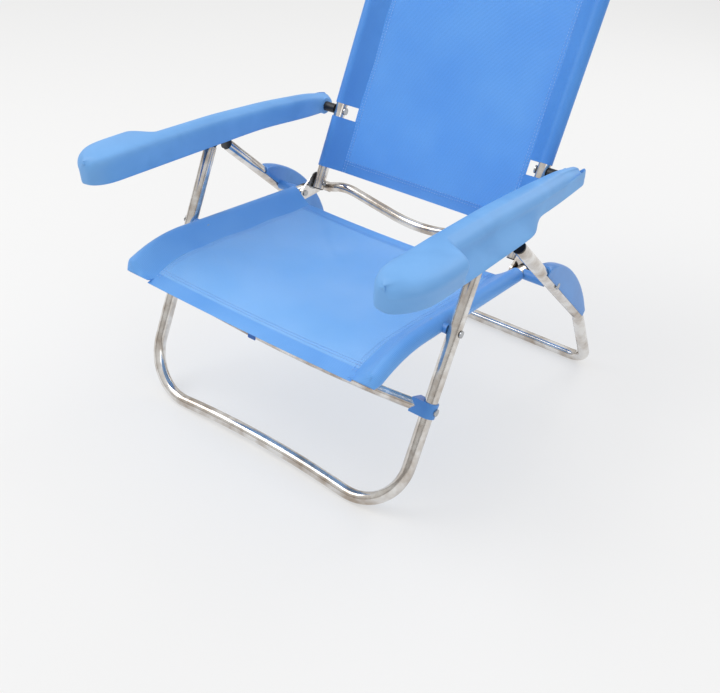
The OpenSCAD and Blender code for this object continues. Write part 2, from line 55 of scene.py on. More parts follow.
class Side(Enum):
    """The sitter's side of the chair, and the sign of its X."""

    LEFT = 1
    RIGHT = -1


class Cloth(Enum):
    """The layers of mesh in a part of a sling, and the index of its finish."""

    SINGLE = 0
    DOUBLE = 1


@dataclass(frozen=True)
class Frame:
    """The chair's side view in millimetres, and its place in the row's frame."""

    mid_y: float = 305.088
    leg_angle: float = 66.0
    rear_pivot: Point = (396.0, 281.0)
    back_pivot: Point = (425.0, 300.0)
    arm_pivot: Point = (483.770, 432.0)
    tube_r: float = 11.0
    rail_x: float = 250.0
    back_x: float = 221.0

    def place(self, x: float, y: float, z: float) -> Vector:
        """Returns a point of the chair, given in millimetres, in the row's frame."""
        return Vector((x, y - self.mid_y, z)) * MM


FRAME = Frame()


# ---- Finishes


def linear(hex_colour: str, alpha: float = 1.0) -> tuple[float, float, float, float]:
    """Turns an sRGB colour into a linear one.

    Args:
        hex_colour: the colour as "#rrggbb".
        alpha: its opacity.

    Returns:
        The linear red, green, blue and alpha.
    """
    parts = [int(hex_colour[i:i + 2], 16) / 255 for i in (1, 3, 5)]
    curved = [p / 12.92 if p <= 0.04045 else ((p + 0.055) / 1.055) ** 2.4 for p in parts]
    return (curved[0], curved[1], curved[2], alpha)


def add_node(
    tree: bpy.types.NodeTree,
    kind: str,
    settings: dict[str, object] | None = None,
    links: dict[str, bpy.types.NodeSocket] | None = None,
    inputs: dict[str, object] | None = None,
) -> bpy.types.Node:
    """Adds a node with its settings and links.

    Args:
        tree: the tree that gets the node.
        kind: the node's type.
        settings: its own properties.
        links: what feeds each of its inputs.
        inputs: the values of its other inputs.

    Returns:
        The new node.
    """
    node = tree.nodes.new(kind)
    for name, value in (settings or {}).items():
        setattr(node, name, value)
    for name, value in (inputs or {}).items():
        key = int(name) if name.isdigit() else name
        node.inputs[key].default_value = value
    for name, socket in (links or {}).items():
        key = int(name) if name.isdigit() else name
        tree.links.new(socket, node.inputs[key])
    return node


def ramp(
    tree: bpy.types.NodeTree,
    source: bpy.types.NodeSocket,
    stops: Sequence[tuple[float, tuple[float, float, float, float]]],
) -> bpy.types.NodeSocket:
    """Turns a value into a colour.

    Args:
        tree: the tree that gets the ramp.
        source: the value.
        stops: positions and linear colours, in rising order.

    Returns:
        The colour's socket.
    """
    node = add_node(tree, "ShaderNodeValToRGB", links={"Fac": source})
    elements = node.color_ramp.elements
    while len(elements) < len(stops):
        elements.new(1.0)
    for element, (position, colour) in zip(elements, stops):
        element.position = position
        element.color = colour
    return node.outputs["Color"]


def wave_scale(pitch_mm: float) -> float:
    """Returns the scale at which a wave texture's bands are pitch_mm apart."""
    return math.pi / (pitch_mm * MM) / 10


@dataclass(frozen=True)
class Finish:
    """A material of the chair: its name, and how rough its surface is."""

    name: str
    roughness: float
    metallic: float = 0.0

    def make(self) -> bpy.types.Material:
        """Builds the material.

        Returns:
            The material, with all its nodes.
        """
        material = bpy.data.materials.new(self.name)
        material.use_nodes = True
        tree = material.node_tree
        shader = tree.nodes["Principled BSDF"]
        shader.inputs["Roughness"].default_value = self.roughness
        shader.inputs["Metallic"].default_value = self.metallic
        self.dress(tree, shader)
        return material

    def dress(self, tree: bpy.types.NodeTree, shader: bpy.types.Node) -> None:
        """Adds the finish's own colour, roughness and relief."""
        raise NotImplementedError

    def relief(
        self,
        tree: bpy.types.NodeTree,
        shader: bpy.types.Node,
        height: bpy.types.NodeSocket,
        depth_mm: float,
        strength: float = 1.0,
    ) -> None:
        """Gives the surface a relief.

        Args:
            tree: the material's tree.
            shader: its surface shader.
            height: the pattern, from 0 to 1.
            depth_mm: how deep the pattern is.
            strength: how much of it shows.
        """
        bump = add_node(
            tree, "ShaderNodeBump", links={"Height": height},
            inputs={"Distance": depth_mm * MM, "Strength": strength},
        )
        tree.links.new(bump.outputs["Normal"], shader.inputs["Normal"])


@dataclass(frozen=True)
class DrawnAluminium(Finish):
    """Drawn tube, polished and clear anodised."""

    bright: str = "#e4e2df"
    # The second tone is painted reflection: warmer light that the polished tubes pick up.
    warm_reflection: str = "#a8998a"
    line_mm: float = 1.2
    smudge_mm: float = 45.0

    def dress(self, tree: bpy.types.NodeTree, shader: bpy.types.Node) -> None:
        """Adds faint clouds of painted reflection in a warmer tone, fine handling scratches and a slightly
        uneven gloss.

        Args:
            tree: the material's tree.
            shader: its surface shader.
        """
        place = add_node(tree, "ShaderNodeTexCoord").outputs["Object"]
        # Broad random clouds of painted reflection, the warmer light that the tubes pick up, make one
        # stretch of tube a little warmer than the next.
        cloud = add_node(
            tree, "ShaderNodeTexNoise", links={"Vector": place},
            inputs={"Scale": 1 / (self.smudge_mm * MM), "Detail": 3.0, "Roughness": 0.6},
        ).outputs["Fac"]
        colour = ramp(tree, cloud, [(0.3, linear(self.warm_reflection)), (0.62, linear(self.bright))])
        tree.links.new(colour, shader.inputs["Base Color"])
        # Hairline marks from sand and handling break the mirror up without hiding it.
        marks = add_node(
            tree, "ShaderNodeTexNoise", links={"Vector": place},
            inputs={"Scale": 1 / (self.line_mm * MM), "Detail": 4.0, "Roughness": 0.7, "Distortion": 1.5},
        ).outputs["Fac"]
        gloss = add_node(
            tree, "ShaderNodeMapRange", links={"Value": marks},
            inputs={"From Min": 0.35, "From Max": 0.7, "To Min": self.roughness * 0.7,
                    "To Max": self.roughness * 1.6},
        ).outputs["Result"]
        tree.links.new(gloss, shader.inputs["Roughness"])
        self.relief(tree, shader, marks, 0.02, 0.5)


@dataclass(frozen=True)
class ZincSteel(Finish):
    """Steel rivets and bolts, cold headed and bright zinc plated."""

    plate: str = "#c3c5c6"
    shade: str = "#8d8f92"
    grain_mm: float = 0.8

    def dress(self, tree: bpy.types.NodeTree, shader: bpy.types.Node) -> None:
        """Adds the mottled grey of zinc and its fine pits.

        Args:
            tree: the material's tree.
            shader: its surface shader.
        """
        place = add_node(tree, "ShaderNodeTexCoord").outputs["Object"]
        # Zinc crystals give small heads a mottled, softer shine than the tubes beside them.
        grain = add_node(
            tree, "ShaderNodeTexNoise", links={"Vector": place},
            inputs={"Scale": 1 / (self.grain_mm * MM), "Detail": 2.0},
        ).outputs["Fac"]
        colour = ramp(tree, grain, [(0.32, linear(self.shade)), (0.6, linear(self.plate))])
        tree.links.new(colour, shader.inputs["Base Color"])
        self.relief(tree, shader, grain, 0.03, 0.5)


@dataclass(frozen=True)
class MouldedPlastic(Finish):
    """Polypropylene or nylon, injection moulded in a spark-eroded mould."""

    colour: str = "#6fa8e2"
    dark: str = "#659ed9"
    grain_mm: float = 0.9
    grain_depth_mm: float = 0.05
    rubbed_mm: float = 60.0

    def dress(self, tree: bpy.types.NodeTree, shader: bpy.types.Node) -> None:
        """Adds an even colour with slow flow clouds, a fine eroded grain and an uneven gloss.

        Args:
            tree: the material's tree.
            shader: its surface shader.
        """
        place = add_node(tree, "ShaderNodeTexCoord").outputs["Object"]
        # Slow clouds are the flow of the pigment as the mould filled.
        flow = add_node(
            tree, "ShaderNodeTexNoise", links={"Vector": place},
            inputs={"Scale": 1 / (self.rubbed_mm * MM), "Detail": 2.0, "Distortion": 0.6},
        ).outputs["Fac"]
        colour = ramp(tree, flow, [(0.3, linear(self.dark)), (0.65, linear(self.colour))])
        tree.links.new(colour, shader.inputs["Base Color"])
        # The grain is what turns the highlight into a broad soft sheen.
        grain = add_node(
            tree, "ShaderNodeTexVoronoi", links={"Vector": place},
            inputs={"Scale": 1 / (self.grain_mm * MM)},
        ).outputs["Distance"]
        gloss = add_node(
            tree, "ShaderNodeMapRange", links={"Value": flow},
            inputs={"From Min": 0.3, "From Max": 0.7, "To Min": self.roughness * 0.9,
                    "To Max": self.roughness * 1.12},
        ).outputs["Result"]
        tree.links.new(gloss, shader.inputs["Roughness"])
        self.relief(tree, shader, grain, self.grain_depth_mm, 0.45)


@dataclass(frozen=True)
class CoatedMesh(Finish):
    """Polyester yarn coated with PVC, woven as an open plain mesh and heat set."""

    yarn: str = "#76baf9"
    # The lighter yarn tone is painted light, the pale floor seen through a more open weave.
    yarn_light: str = "#8bc5fd"
    gap: str = "#63a4ea"
    # The real yarns are about 1 mm apart; they are drawn at 2.1 mm so that the weave shows.
    pitch_mm: float = 2.1
    open_share: float = 0.8
    painted_see_through_mm: float = 140.0

    def dress(self, tree: bpy.types.NodeTree, shader: bpy.types.Node) -> None:
        """Adds crossing yarns, the small open gaps between them and their woven relief.

        Args:
            tree: the material's tree.
            shader: its surface shader.
        """
        uv = add_node(tree, "ShaderNodeUVMap", {"uv_map": CLOTH_MAP}).outputs["UV"]
        bands = []
        for direction in ("X", "Y"):
            bands.append(add_node(
                tree, "ShaderNodeTexWave", {"bands_direction": direction, "wave_profile": "SIN"},
                links={"Vector": uv},
                inputs={"Scale": wave_scale(self.pitch_mm), "Distortion": 0.25, "Detail": 1.0},
            ).outputs["Fac"])
        # Where both bands are low there is no yarn, and what is behind shows through.
        yarns = add_node(
            tree, "ShaderNodeMath", {"operation": "MAXIMUM"}, links={"0": bands[0], "1": bands[1]},
        ).outputs["Value"]
        cover = add_node(
            tree, "ShaderNodeMapRange", links={"Value": yarns},
            inputs={"From Min": 0.25, "From Max": 0.85, "To Min": 1 - self.open_share, "To Max": 1.0},
        ).outputs["Result"]
        tree.links.new(cover, shader.inputs["Alpha"])
        # Slow random noise lightens the yarn in some places: uneven tension opens the weave more there, and
        # the pale floor seen through it is painted into the colour as light.
        painted_see_through = add_node(
            tree, "ShaderNodeTexNoise", links={"Vector": uv},
            inputs={"Scale": 1 / (self.painted_see_through_mm * MM), "Detail": 2.0},
        ).outputs["Fac"]
        tone = ramp(tree, painted_see_through, [(0.3, linear(self.yarn)), (0.7, linear(self.yarn_light))])
        colour = add_node(
            tree, "ShaderNodeMix", {"data_type": "RGBA"},
            links={"0": cover, "7": tone}, inputs={"6": linear(self.gap)},
        ).outputs[2]
        tree.links.new(colour, shader.inputs["Base Color"])
        crossing = add_node(
            tree, "ShaderNodeMath", {"operation": "ADD"}, links={"0": bands[0], "1": bands[1]},
        ).outputs["Value"]
        self.relief(tree, shader, crossing, 0.25, 0.5)
        shader.inputs["Sheen Weight"].default_value = 0.15
        shader.inputs["Sheen Roughness"].default_value = 0.4


@dataclass(frozen=True)
class WovenTape(Finish):
    """Polyester webbing, woven as a ribbed narrow tape."""

    colour: str = "#3f78c8"
    # The groove colour is painted shade between the ribs.
    groove: str = "#28559c"
    rib_mm: float = 1.6

    def dress(self, tree: bpy.types.NodeTree, shader: bpy.types.Node) -> None:
        """Adds ribs across the tape, and painted shade in the dark lines between them.

        Args:
            tree: the material's tree.
            shader: its surface shader.
        """
        uv = add_node(tree, "ShaderNodeUVMap", {"uv_map": CLOTH_MAP}).outputs["UV"]
        # The ribs catch the light one by one along the tape; the colour paints each crest lit and each
        # groove between them in shade.
        ribs = add_node(
            tree, "ShaderNodeTexWave", {"bands_direction": "Y"}, links={"Vector": uv},
            inputs={"Scale": wave_scale(self.rib_mm), "Distortion": 0.6, "Detail": 1.0},
        ).outputs["Fac"]
        colour = ramp(tree, ribs, [(0.1, linear(self.groove)), (0.5, linear(self.colour))])
        tree.links.new(colour, shader.inputs["Base Color"])
        self.relief(tree, shader, ribs, 0.3, 0.8)


@dataclass(frozen=True)
class SewingThread(Finish):
    """Bonded polyester thread, twisted and waxed."""

    # The two tones are painted highlight and shade along the thread's twist.
    light: str = "#a9cdf8"
    dark: str = "#6aa2e4"
    twists_per_m: float = 900.0

    def dress(self, tree: bpy.types.NodeTree, shader: bpy.types.Node) -> None:
        """Adds the twist as painted highlights and shade, which make each stitch a row of light and dark.

        Args:
            tree: the material's tree.
            shader: its surface shader.
        """
        place = add_node(tree, "ShaderNodeTexCoord").outputs["Object"]
        # Random noise paints the plies' highlights and shade in place of a modelled twist.
        twist = add_node(
            tree, "ShaderNodeTexNoise", links={"Vector": place},
            inputs={"Scale": self.twists_per_m, "Detail": 1.0},
        ).outputs["Fac"]
        colour = ramp(tree, twist, [(0.35, linear(self.dark)), (0.6, linear(self.light))])
        tree.links.new(colour, shader.inputs["Base Color"])
        self.relief(tree, shader, twist, 0.1, 0.6)


@dataclass(frozen=True)
class StudioPaper(Finish):
    """Matt paper on the studio's floor."""

    colour: str = "#a0a0a0"
    glow: float = 0.5

    def dress(self, tree: bpy.types.NodeTree, shader: bpy.types.Node) -> None:
        """Adds the plain colour and the light from below; the paper has no pattern.

        Args:
            tree: the material's tree.
            shader: its surface shader.
        """
        shader.inputs["Base Color"].default_value = linear(self.colour)
        # Lit from below as well as above, the floor shows only pale shadows.
        shader.inputs["Emission Color"].default_value = linear("#ffffff")
        shader.inputs["Emission Strength"].default_value = self.glow
        shader.inputs["Specular IOR Level"].default_value = 0.1


@dataclass
class Finishes:
    """Every finish of the chair, made once."""

    tube: bpy.types.Material = field(init=False)
    steel: bpy.types.Material = field(init=False)
    arm: bpy.types.Material = field(init=False)
    clip: bpy.types.Material = field(init=False)
    black: bpy.types.Material = field(init=False)
    cloth: list[bpy.types.Material] = field(init=False)
    painted_shade_back_cloth: list[bpy.types.Material] = field(init=False)
    tape: bpy.types.Material = field(init=False)
    thread: bpy.types.Material = field(init=False)

    def __post_init__(self) -> None:
        """Makes the materials."""
        self.tube = DrawnAluminium("polished_anodised_aluminium", 0.14, 1.0).make()
        self.steel = ZincSteel("bright_zinc_steel", 0.3, 1.0).make()
        self.arm = MouldedPlastic("moulded_matt_polypropylene", 0.5).make()
        self.clip = MouldedPlastic(
            "moulded_blue_nylon", 0.34, colour="#5390d6", dark="#4482c9", grain_depth_mm=0.02).make()
        self.black = MouldedPlastic(
            "moulded_black_nylon", 0.42, colour="#1d1e20", dark="#131416", grain_depth_mm=0.03).make()
        self.cloth = [
            CoatedMesh("pvc_coated_polyester_mesh", 0.48).make(),
            CoatedMesh("pvc_coated_polyester_mesh_doubled", 0.46, yarn="#569ce8", yarn_light="#6cacf0",
                       gap="#3f80d0", open_share=0.18).make(),
        ]
        # The back stands in its own shade: these copies of the same mesh are painted deeper and less open
        # to stand for that shade.
        self.painted_shade_back_cloth = [
            CoatedMesh("pvc_coated_polyester_mesh_back", 0.48, yarn="#4795ea", yarn_light="#56a0ee",
                       gap="#3d86dc", open_share=0.3).make(),
            CoatedMesh("pvc_coated_polyester_mesh_back_doubled", 0.46, yarn="#3f86d8",
                       yarn_light="#4e93e0", gap="#3272c0", open_share=0.12).make(),
        ]
        self.tape = WovenTape("woven_polyester_tape", 0.6).make()
        self.thread = SewingThread("bonded_polyester_thread", 0.5).make()

    def for_sling(self, body: str) -> list[bpy.types.Material]:
        """Returns the single and doubled mesh of the sling on a body; the back gets the copies painted in
        shade.
        """
        return self.painted_shade_back_cloth if body == "back" else self.cloth

    def for_slot(self, slot: str) -> bpy.types.Material:
        """Finds a slot's finish.

        Args:
            slot: one of the record's material slots.

        Returns:
            The finish.
        """
        return {
            "frame_tube": self.tube, "fastener_steel": self.steel, "arm_plastic": self.arm,
            "clip_plastic": self.clip, "black_plastic": self.black, "sling_mesh": self.cloth[0],
            "webbing": self.tape,
        }[slot]


# ---- Mesh helpers


def make_object(name: str, mesh: bpy.types.Mesh,
                materials: Sequence[bpy.types.Material]) -> bpy.types.Object:
    """Makes an object of a mesh.

    Args:
        name: the piece's name.
        mesh: its mesh.
        materials: its finishes, in the order of their indices.

    Returns:
        The new object.
    """
    for material in materials:
        mesh.materials.append(material)
    piece = bpy.data.objects.new(name, mesh)
    bpy.context.scene.collection.objects.link(piece)
    return piece


def finish_mesh(name: str, mesh: bmesh.types.BMesh,
                materials: Sequence[bpy.types.Material]) -> bpy.types.Object:
    """Turns a mesh in the making into an object.

    Args:
        name: the piece's name.
        mesh: what was made, which is freed.
        materials: its finishes, in the order of their indices.

    Returns:
        The new object.
    """
    data = bpy.data.meshes.new(name)
    mesh.to_mesh(data)
    mesh.free()
    if data.uv_layers:
        data.uv_layers[0].name = CLOTH_MAP
    return make_object(name, data, materials)


def apply_modifiers(piece: bpy.types.Object) -> None:
    """Applies every modifier of a piece.

    Args:
        piece: the piece, which gets a new mesh.
    """
    graph = bpy.context.evaluated_depsgraph_get()
    mesh = bpy.data.meshes.new_from_object(piece.evaluated_get(graph))
    piece.modifiers.clear()
    piece.data = mesh


def shade_smooth(piece: bpy.types.Object, sharp_angle: float = 40.0) -> None:
    """Shades a piece smoothly, apart from its sharp edges.

    Args:
        piece: the piece.
        sharp_angle: the angle in degrees from which an edge stays sharp.
    """
    for polygon in piece.data.polygons:
        polygon.use_smooth = True
    piece.data.set_sharp_from_angle(angle=math.radians(sharp_angle))


@dataclass
class Strip:
    """A strip of cloth: rows of points, and whether it is doubled."""

    rows: list[list[Vector]]
    layer: Cloth = Cloth.SINGLE

    def add_to(self, mesh: bmesh.types.BMesh, hem_rows: int = 0) -> None:
        """Adds the strip's faces to a mesh, with its coordinates in metres.

        Args:
            mesh: the mesh that gets the faces.
            hem_rows: how many rows at each end are doubled.
        """
        uv = mesh.loops.layers.uv.verify()
        grid = [[mesh.verts.new(p) for p in row] for row in self.rows]
        across = [0.0]
        middle = self.rows[len(self.rows) // 2]
        for a, b in zip(middle, middle[1:]):
            across.append(across[-1] + (b - a).length)
        along = [0.0]
        column = len(middle) // 2
        for a, b in zip(self.rows, self.rows[1:]):
            along.append(along[-1] + (b[column] - a[column]).length)
        last = len(grid) - 2
        for i in range(len(grid) - 1):
            for j in range(len(middle) - 1):
                corners = ((i, j), (i, j + 1), (i + 1, j + 1), (i + 1, j))
                face = mesh.faces.new([grid[a][b] for a, b in corners])
                face.smooth = True
                hemmed = i < hem_rows or i > last - hem_rows
                face.material_index = Cloth.DOUBLE.value if hemmed else self.layer.value
                for loop, (a, b) in zip(face.loops, corners):
                    loop[uv].uv = (across[b], along[a])


def stitch_line(mesh: bmesh.types.BMesh, line: Sequence[Vector], length_mm: float = 4.0,
                gap_mm: float = 1.6, radius_mm: float = 0.55) -> None:
    """Adds a row of stitches along a line.

    Args:
        mesh: the mesh that gets the stitches.
        line: the points that the row follows.
        length_mm: one stitch's length.
        gap_mm: the space to the next.
        radius_mm: the thread's radius, drawn a little thick so that it shows.
    """
    spans = [(a, b, (b - a).length) for a, b in zip(line, line[1:]) if (b - a).length > 0]
    total = sum(s[2] for s in spans)
    step = (length_mm + gap_mm) * MM

    def at(distance: float) -> Vector:
        """Walks along the line.

        Args:
            distance: how far, in metres.

        Returns:
            The point there.
        """
        for a, b, size in spans:
            if distance <= size:
                return a.lerp(b, distance / size)
            distance -= size
        return spans[-1][1].copy()

    for i in range(int(total / step)):
        start, end = at(i * step), at(i * step + length_mm * MM)
        run = end - start
        turn = run.to_track_quat("Z", "Y").to_matrix().to_4x4()
        shape = Matrix.Translation((start + end) / 2) @ turn @ Matrix.Diagonal(
            (radius_mm * MM, radius_mm * MM, run.length / 2, 1.0))
        bmesh.ops.create_icosphere(mesh, subdivisions=1, radius=1.0, matrix=shape)


# ---- Slings


@dataclass
class Sling:
    """A sheet of mesh cloth, stretched between two tubes by a sleeve on each."""

    name: str
    node: str
    body: str
    tube_x: float
    seam_in: float
    seam_drop: float
    sag: float
    path: Callable[[float], tuple[Point, Point]]
    length: float
    flat: tuple[float, float]
    hem: float = 26.0
    gap: float = 1.2
    thickness: float = 0.9
    step: float = 6.0
    columns: int = 60
    wrap_steps: int = 26
    layer_steps: int = 8
    cut_outs: Sequence[tuple[float, float]] = ()
    closed_tip: float = 0.0

    def at(self, x: float, height: float, s: float) -> Vector:
        """Finds a point of the sling.

        Args:
            x: how far it is across the chair.
            height: how far it is above the tubes' middle lines.
            s: how far it is along the tubes.

        Returns:
            The point in the row's frame.
        """
        (y, z), (up_y, up_z) = self.path(s)
        return FRAME.place(x, y + height * up_y, z + height * up_z)

    def panel_height(self, x: float, s: float) -> float:
        """Works out how the panel hangs.

        Args:
            x: how far across the chair.
            s: how far along the tubes.

        Returns:
            The panel's height above the tubes' middle lines, which is mostly below 0.
        """
        half = self.tube_x - self.seam_in
        share = x / half
        # The hems are doubled and hold the ends a little flatter than the middle.
        along = s / self.length
        ease = 0.4 + 0.6 * math.sin(math.pi * min(max(along, 0.0), 1.0)) ** 0.6
        pucker = 0.5 * math.sin(along * 21.0 + 2.0 * abs(share)) * abs(share) ** 3
        return (-self.seam_drop - self.sag * ease * (1 - share ** 2)) + pucker

    def sleeve_section(self) -> list[Point]:
        """Works out the loop of cloth round the left tube.

        Returns:
            Points (x, height) from the seam over the tube, under it and back to the seam.
        """
        radius = FRAME.tube_r + self.gap
        seam = (self.tube_x - self.seam_in, -self.seam_drop)
        reach = math.hypot(self.seam_in, self.seam_drop)
        to_tube = math.atan2(self.seam_drop, self.seam_in)
        spread = math.asin(radius / reach)
        top = to_tube + spread + math.pi / 2
        bottom = to_tube - spread - math.pi / 2
        arc = [
            (self.tube_x + radius * math.cos(a), radius * math.sin(a))
            for a in (top + (bottom - top) * i / self.wrap_steps for i in range(self.wrap_steps + 1))
        ]
        first, last = arc[0], arc[-1]
        # The upper layer bows a little over its gap, and the lower one hangs.
        upper = [
            (seam[0] + (first[0] - seam[0]) * t,
             seam[1] + (first[1] - seam[1]) * t - 1.8 * math.sin(math.pi * t))
            for t in (i / self.layer_steps for i in range(self.layer_steps))
        ]
        lower = [
            (last[0] + (seam[0] - last[0]) * t,
             last[1] + (seam[1] - 1.2 - last[1]) * t - 1.0 * math.sin(math.pi * t))
            for t in (i / self.layer_steps for i in range(1, self.layer_steps + 1))
        ]
        return upper + arc + lower

    def build(self, finishes: Finishes) -> tuple[bpy.types.Object, bpy.types.Object]:
        """Builds the cloth and its stitching.

        Args:
            finishes: the chair's finishes.

        Returns:
            The cloth and the stitching.
        """
        count = round(self.length / self.step)
        stations = [self.length * i / count for i in range(count + 1)]
        section = self.sleeve_section()
        mesh = bmesh.new()
        half = self.tube_x - self.seam_in
        for side in Side:
            for start, end in self.sleeve_spans():
                inside = [s for s in stations if start < s < end]
                rows = [
                    [self.at(side.value * x, h, s) for x, h in section] for s in [start, *inside, end]
                ]
                if self.closed_tip and end == self.length:
                    rows += self.tip_rows(side, section)
                Strip(rows, Cloth.DOUBLE).add_to(mesh)
        # The panel reaches 3 mm under each sleeve's seam.
        xs = [-half - 3 + (2 * half + 6) * i / self.columns for i in range(self.columns + 1)]
        reach = [*stations, *(self.length + self.closed_tip * t for t in (0.5, 1.0) if self.closed_tip)]
        rows = [[self.at(x, self.panel_height(x, s) + 0.5, s) for x in xs] for s in reach]
        hem_rows = max(1, round(self.hem / self.step))
        Strip(rows).add_to(mesh, hem_rows)
        cloth = finish_mesh(self.name, mesh, finishes.for_sling(self.body))
        solid = cloth.modifiers.new("thickness", "SOLIDIFY")
        solid.thickness = self.thickness * MM
        solid.offset = 0.0
        apply_modifiers(cloth)
        shade_smooth(cloth, 50)
        thread = self.build_stitches(stations, half, finishes)
        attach(cloth, self.body)
        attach(thread, self.body)
        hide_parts(self.node)
        LOG.info("%s: %d faces, flat %.3f x %.3f m", self.name, len(cloth.data.polygons), *self.flat)
        return cloth, thread

    def tip_rows(self, side: Side, section: Sequence[Point]) -> list[list[Vector]]:
        """Works out the end of a sleeve, sewn flat beyond the tube's end.

        Args:
            side: the side of the chair.
            section: the sleeve's open section.

        Returns:
            The rows of points that close it.
        """
        rows = []
        for share in (0.3, 0.6, 0.85, 1.0):
            flat = share ** 1.5
            rows.append([
                self.at(side.value * (x - 5.0 * flat * (x > self.tube_x)),
                        h * (1 - 0.93 * flat) - 5.0 * flat, self.length + self.closed_tip * share)
                for x, h in section
            ])
        return rows

    def sleeve_spans(self) -> list[tuple[float, float]]:
        """Splits a sleeve at its cut-outs.

        Returns:
            Where each length of it starts and ends.
        """
        edges = [0.0]
        for start, end in self.cut_outs:
            edges += [start, end]
        edges.append(self.length)
        return list(zip(edges[::2], edges[1::2]))

    def build_stitches(self, stations: Sequence[float], half: float,
                       finishes: Finishes) -> bpy.types.Object:
        """Sews the seams beside the tubes and the two hems.

        Args:
            stations: the lengths along the sling at which it has points.
            half: the panel's half width.
            finishes: the chair's finishes.

        Returns:
            The stitching.
        """
        mesh = bmesh.new()
        for side in Side:
            for inset in (1.5, 7.0):
                line = [
                    self.at(side.value * (half - inset), self.panel_height(half - inset, s) + 1.3, s)
                    for s in stations
                ]
                stitch_line(mesh, line)
        for s in (self.hem - 3, self.hem - 8, self.length - self.hem + 3, self.length - self.hem + 8):
            line = [
                self.at(x, self.panel_height(x, s) + 1.3, s)
                for x in (-half + 2 * half * i / self.columns for i in range(self.columns + 1))
            ]
            stitch_line(mesh, line)
        thread = finish_mesh(self.name + "_stitching", mesh, [finishes.thread])
        shade_smooth(thread, 80)
        return thread


@dataclass
class Seat:
    """The seat: its sling follows the rails from behind the sitter to the bend at the knees."""

    slope: float = 3.7
    rear_gap: float = 13.0
    nose_y: float = 85.0
    nose_angle: float = 24.0
    nose_r: float = 250.0
    tip: float = 9.0
    flat: tuple[float, float] = (0.68, 0.48)

    def rail(self, s: float) -> tuple[Point, Point]:
        """Finds a place on the left rail.

        Args:
            s: how far it is from the sling's rear edge.

        Returns:
            The side-view point on the rail's middle line, and the upward normal there.
        """
        heading = math.radians(180 - self.slope)
        start = FRAME.rear_pivot
        straight = (start[0] - self.nose_y) / math.cos(math.radians(self.slope)) - self.rear_gap
        begin = (start[0] + self.rear_gap * math.cos(heading), start[1] + self.rear_gap * math.sin(heading))
        ahead = min(s, straight)
        y, z = begin[0] + ahead * math.cos(heading), begin[1] + ahead * math.sin(heading)
        arc = math.radians(self.nose_angle) * self.nose_r
        turn = min(max(s - straight, 0.0), arc) / self.nose_r
        centre = (y - self.nose_r * math.sin(heading), z + self.nose_r * math.cos(heading))
        y = centre[0] + self.nose_r * math.sin(heading + turn)
        z = centre[1] - self.nose_r * math.cos(heading + turn)
        heading += turn
        beyond = max(s - straight - arc, 0.0)
        y, z = y + beyond * math.cos(heading), z + beyond * math.sin(heading)
        return (y, z), (math.sin(heading), -math.cos(heading))

    def build(self, finishes: Finishes) -> None:
        """Builds the seat's sling.

        Args:
            finishes: the chair's finishes.
        """
        straight = (FRAME.rear_pivot[0] - self.nose_y) / math.cos(math.radians(self.slope)) - self.rear_gap
        length = straight + math.radians(self.nose_angle) * self.nose_r + self.tip
        Sling(
            "seat_mesh", "seat_sling", "seat", FRAME.rail_x, seam_in=40.0, seam_drop=15.0, sag=11.0,
            path=self.rail, length=length, flat=self.flat, closed_tip=13.0,
        ).build(finishes)


@dataclass
class Back:
    """The back: its sling follows the two sides of the back frame."""

    hem_t: float = 32.0
    length: float = 508.0
    cut_half: float = 13.0
    flat: tuple[float, float] = (0.61, 0.56)

    def side(self, s: float) -> tuple[Point, Point]:
        """Finds a place on a side of the back frame.

        Args:
            s: how far it is from the sling's lower edge.

        Returns:
            The side-view point on the tube's middle line, and the normal towards the sitter.
        """
        lean = math.radians(FRAME.leg_angle)
        along = self.hem_t + s
        point = (
            FRAME.back_pivot[0] + along * math.cos(lean),
            FRAME.back_pivot[1] + along * math.sin(lean),
        )
        return point, (-math.sin(lean), math.cos(lean))

    def build(self, finishes: Finishes) -> None:
        """Builds the back's sling, with a gap in each sleeve for the armrest's pivot.

        Args:
            finishes: the chair's finishes.
        """
        pivot_s = (FRAME.arm_pivot[1] - FRAME.back_pivot[1]) / math.sin(math.radians(FRAME.leg_angle))
        at = pivot_s - self.hem_t
        Sling(
            "back_mesh", "back_sling", "back", FRAME.back_x, seam_in=36.0, seam_drop=13.0, sag=12.0,
            path=self.side, length=self.length, flat=self.flat,
            cut_outs=((at - self.cut_half, at + self.cut_half),),
        ).build(finishes)


@dataclass
class ClosingStrap:
    """A folded tape on the front hem, which ties the folded chair."""

    width: float = 14.0
    y: float = -11.0
    top: float = 259.0
    bottom: float = 233.5
    fold: float = 3.0
    flat: tuple[float, float] = (0.014, 0.054)

    def build(self, finishes: Finishes) -> None:
        """Builds the tape as one loop that hangs flat.

        Args:
            finishes: the chair's finishes.
        """
        profile = [(self.y + self.fold, self.top - 2)]
        half, bend = self.fold / 2, self.bottom + 4
        drop = self.top - 6 - bend
        shares = [i / 10 for i in range(11)]
        profile += [(self.y + self.fold - half * t, self.top - 6 - drop * t) for t in shares]
        for i in range(1, 8):
            a = math.pi * i / 8
            profile.append((self.y + half * math.cos(a), bend - self.fold * math.sin(a)))
        profile += [(self.y - half * (1 - t), bend + (drop + 2) * t) for t in shares]
        rows = [
            [FRAME.place(-self.width / 2 + self.width * j / 6, y, z) for j in range(7)] for y, z in profile
        ]
        mesh = bmesh.new()
        Strip(rows).add_to(mesh)
        tape = finish_mesh("strap_tape", mesh, [finishes.tape])
        solid = tape.modifiers.new("thickness", "SOLIDIFY")
        solid.thickness = 1.2 * MM
        apply_modifiers(tape)
        shade_smooth(tape, 50)
        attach(tape, "seat")
        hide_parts("closing_strap")
        LOG.info("strap_tape: %d faces", len(tape.data.polygons))


# ---- Armrests


